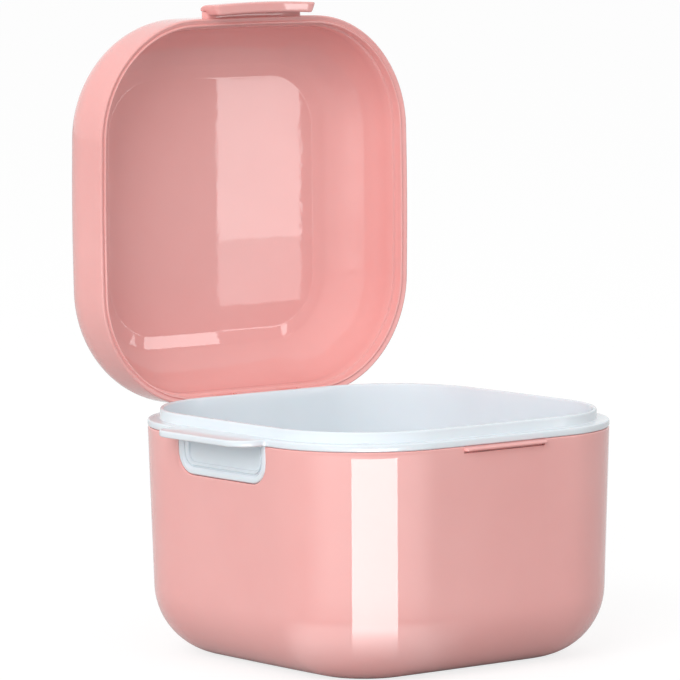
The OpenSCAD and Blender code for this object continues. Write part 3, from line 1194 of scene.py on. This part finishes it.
sky_ray = node(sky_tree, "LightPath", {}, None).outputs
seen = reckon(sky_tree, "MAXIMUM", sky_ray["Is Camera Ray"], sky_ray["Is Glossy Ray"])
seen = reckon(sky_tree, "MAXIMUM", seen, sky_ray["Is Transmission Ray"])
sky_light = node(sky_tree, "MapRange", {"Value": seen, "To Min": SKY_LIGHT, "To Max": SKY_SEEN})
feed(sky_tree, sky_tree.nodes["Background"], {"Color": (1, 1, 1, 1), "Strength": sky_light})

floor_look, floor_tree = new_material("studio_floor")
floor_tree.nodes.clear()


def flat_sheet(name, corners, material):
    """Object of one flat face."""
    data = bpy.data.meshes.new(name)
    data.from_pydata([tuple(corner) for corner in corners], [], [tuple(range(len(corners)))])
    data.materials.append(material)
    return placed(name, data)


def white_cloth(share_lit, share_glow):
    """Shader that is partly lit by the lamps and partly glows by itself."""
    lit = node(floor_tree, "BsdfDiffuse", {"Color": (share_lit, share_lit, share_lit, 1)})
    glow = node(floor_tree, "Emission", {"Strength": share_glow})
    return node(floor_tree, "AddShader", {0: lit, 1: glow})


floor_ray = node(floor_tree, "LightPath", {}, None).outputs
floor_shader = white_cloth(BOUNCE, 0)
mirrored_floor = white_cloth(MIRRORED_LIT, MIRRORED_GLOW)
seen_floor = white_cloth(SEEN_LIT, SEEN_GLOW)
for kind, shader in (("Glossy", mirrored_floor), ("Transmission", mirrored_floor), ("Camera", seen_floor)):
    floor_shader = node(floor_tree, "MixShader", {
        "Fac": floor_ray["Is " + kind + " Ray"], 1: floor_shader, 2: shader})
node(floor_tree, "OutputMaterial", {"Surface": floor_shader}, None)
floor_corners = [(x * FLOOR_HALF, y * FLOOR_HALF, 0) for x, y in ((-1, -1), (1, -1), (1, 1), (-1, 1))]
floor = flat_sheet("floor", floor_corners, floor_look)
print("floor", 2 * FLOOR_HALF, "m wide")

# %% [markdown]
# Three large soft lamps stand as in a product studio: a strong key on the photographer's left, a
# weak one further round to the left, and a weak fill in front of the latch face. They are nearly a
# metre wide, so the light on the walls changes slowly. They show in no reflection: cards draw those.

# %% Lamps
LAMP_SIZE = 0.9
LAMP_DISTANCE = 1.6
LAMP_AIM = Vector((0, 0, 0.07))
# Each lamp's name, azimuth, elevation and power
LAMPS = (("key_lamp", -60, 25, 12.8), ("side_lamp", -100, 15, 1.3), ("fill_lamp", 5, 20, 1.1))
for name, azimuth, elevation, power in LAMPS:
    light = bpy.data.lights.new(name, "AREA")
    light.shape = "RECTANGLE"
    light.size = LAMP_SIZE
    light.size_y = LAMP_SIZE
    light.energy = power
    way = towards(radians(azimuth), radians(elevation))
    holder = aimed(placed(name, light), LAMP_AIM, way, LAMP_DISTANCE)
    holder.visible_glossy = False
print(len(LAMPS), "lamps")

# %% [markdown]
# The photograph's strongest marks are mirror images of light cards: a pale stripe down the near
# corner, a tall window inside the lid with a bright sill above it, and a patch on the latch. A card
# is placed by the rule of mirrors: the ray from the camera to a point of the highlight is reflected
# there, and the card's corner lies on it. Cards show only in reflections, so the plain light on the
# object stays as it is. The stripe and the two fans lie on the table. Their glow fades where a
# mirrored ray has come from further off than the case, so that the lid stays free of them.

# %% Cards for the reflections
CARD_HEIGHT = 0.001
corner_centre = Vector((-case_core, -case_core, 0)) * MM


def reflected(point, normal):
    """Direction in which the camera sees the world mirrored at this point."""
    ray = (point - camera.location).normalized()
    return ray - 2 * ray.dot(normal) * normal


def light_card(name, corners, strength):
    """Glowing sheet that shows only in reflections; gives its node tree, to shape the glow."""
    look, tree = new_material(name)
    tree.nodes.clear()
    glow = node(tree, "Emission", {"Strength": strength}, name="glow")
    both = node(tree, "AddShader", {0: glow, 1: node(tree, "BsdfTransparent", {})})
    node(tree, "OutputMaterial", {"Surface": both}, None)
    card = flat_sheet(name, corners, look)
    for ray in ("camera", "diffuse", "transmission", "shadow"):
        setattr(card, "visible_" + ray, False)
    return tree


def from_point(tree, centre, operation, output):
    """Distance, or direction, from a point on the table."""
    return node(tree, "VectorMath", {0: own_place(tree), 1: centre}, output, operation=operation)


def excess(tree, reach):
    """How much longer a mirrored ray is than the reach: it is short on the case, long on the lid."""
    return reckon(tree, "SUBTRACT", node(tree, "LightPath", {}, "Ray Length"), reach)


def shape_glow(tree, values, ranges, strength):
    """Lets the glow grow smoothly to full strength as each value crosses its range."""
    share = None
    for value, (start, end) in zip(values, ranges):
        fade = node(tree, "MapRange", {
            "Value": value, "From Min": start, "From Max": end, "To Max": 1 if share else strength},
            interpolation_type="SMOOTHSTEP")
        share = reckon(tree, "MULTIPLY", share, fade) if share else fade
    feed(tree, tree.nodes["glow"], {"Strength": share})


print("cards lie", CARD_HEIGHT / MM, "mm above the table")

# %% [markdown]
# The stripe runs straight down the near corner and fades in the bend at its foot. Its card follows
# from that: for each height, on the wall or in the bend, the mirrored spots of its two edges are
# the card's outline on the table.

# %% Stripe on the near corner
STRIPE_LEFT = -3.13
STRIPE_RIGHT = 7.25
STRIPE_LIGHT = 9.4
STRIPE_HEIGHTS = (5.5, 6.5, 7.5, 9, 11, 13, 15, 17, 20, 30, 45, 65)
STRIPE_FOOT = (0.019, 0.055)
STRIPE_STRAY = (0.015, -0.005)


def corner_profile(z):
    """Near corner's radius and downward tilt at height z, on the wall or in the bend below it."""
    if z >= case_fillet * (1 - sin(lean)):
        return face_r(z), lean
    tilt = asin(1 - z / case_fillet)
    return face_r(case_fillet) + case_fillet * (cos(tilt) - 1 / cos(lean)), tilt


def stripe_spot(aside, z):
    """Point on the table that is mirrored in the near corner at height z, aside from its middle."""
    r, tilt = corner_profile(z)
    azimuth = VIEW_AZIMUTH + asin(aside / r)
    point = corner_centre + towards(azimuth, 0) * r * MM + Vector((0, 0, z * MM))
    way = reflected(point, towards(azimuth, -tilt))
    return point - way * (point.z - CARD_HEIGHT) / way.z


stripe_corners = [stripe_spot(STRIPE_LEFT, z) for z in reversed(STRIPE_HEIGHTS)]
stripe_corners += [stripe_spot(STRIPE_RIGHT, z) for z in STRIPE_HEIGHTS]
stripe_tree = light_card("stripe_card", stripe_corners, STRIPE_LIGHT)
stripe_reach = from_point(stripe_tree, corner_centre, "DISTANCE", "Value")
shape_glow(stripe_tree, [stripe_reach, excess(stripe_tree, stripe_reach)], [STRIPE_FOOT, STRIPE_STRAY],
           STRIPE_LIGHT)
print("stripe card from", [round(c, 3) for c in stripe_corners[-1]])

# %% [markdown]
# The walls beside the stripe grow brighter towards it, and a pale band runs round the foot of the
# corner. Both mirror a table that is lit in patches, so each gets a glow that fans out from the
# corner, soft at its sides and in its reach.

# %% Fans of light on the table
FAN_REACH = 0.8
FAN_STRAY = (0.06, 0.02)
FAN_FADE = (0.045, 0.14)
FOOT_RISE = (0.014, 0.034)
FOOT_FADE = (0.07, 0.045)
FAN_LIGHT = 1.8
FOOT_LIGHT = 2.3


def fan_card(name, height, middle, full, none, ranges, strength):
    """Glow that fans out on the table, full and none at these angles from its middle direction."""
    way = towards(radians(middle), 0)
    side = Vector((-way.y, way.x, 0))
    start = corner_centre + Vector((0, 0, height))
    tree = light_card(name, [start - side * FAN_REACH, start + side * FAN_REACH,
                             start + (way + side) * FAN_REACH, start + (way - side) * FAN_REACH], strength)
    step = from_point(tree, start, "SUBTRACT", "Vector")
    unit = node(tree, "VectorMath", {0: step}, operation="NORMALIZE")
    turn = node(tree, "VectorMath", {0: unit, 1: way}, "Value", operation="DOT_PRODUCT")
    apart = from_point(tree, start, "DISTANCE", "Value")
    cosines = (cos(radians(none)), cos(radians(full)))
    values = [turn, excess(tree, apart)] + [apart] * len(ranges)
    shape_glow(tree, values, [cosines, FAN_STRAY] + ranges, strength)


fan_card("fan_card", CARD_HEIGHT / 2, middle=-30, full=36, none=72, ranges=[FAN_FADE],
         strength=FAN_LIGHT)
fan_card("foot_card", CARD_HEIGHT / 4, middle=-40, full=38, none=80, ranges=[FOOT_RISE, FOOT_FADE],
         strength=FOOT_LIGHT)
print("fans reach", FAN_REACH, "m")

# %% [markdown]
# The window stands in the air in front of the lid, in two panes of different brightness, and the
# sill is a third card just above. The latch's card is small, and mirrored in its slope. All four
# are rectangles as the camera sees them on a face towards -Y.

# %% Window, sill and latch cards
ROOF_Y = (lid_top - lid_top_t + pin_y - pin_z) * MM
LATCH_EDGE_Y = (latch_low_z - pin_z + pin_y) * MM
CARD_AWAY = 0.45
# Each card's name, left, right, lowest and highest place, strength, and the face that mirrors it
WINDOW_CARDS = (("window_card_low", 0.0015, 0.028, 0.0794, 0.0958, 2.3, ROOF_Y),
                ("window_card_high", 0.0015, 0.028, 0.0958, 0.1362, 4.3, ROOF_Y),
                ("sill_card", -0.026, 0.0015, 0.1392, 0.1502, 5, ROOF_Y),
                ("latch_card", 0.0054, 0.0134, 0.1541, 0.157, 6.5, LATCH_EDGE_Y))


def window_corner(x, y, z):
    """Corner of a card that the camera sees mirrored in a face towards -Y at this point."""
    point = Vector((x, y, z))
    return point + reflected(point, Vector((0, -1, 0))) * CARD_AWAY


for name, left, right, low, high, strength, y in WINDOW_CARDS:
    window = ((left, low), (right, low), (right, high), (left, high))
    light_card(name, [window_corner(x, y, z) for x, z in window], strength)
print(len(WINDOW_CARDS), "cards in front of the lid")
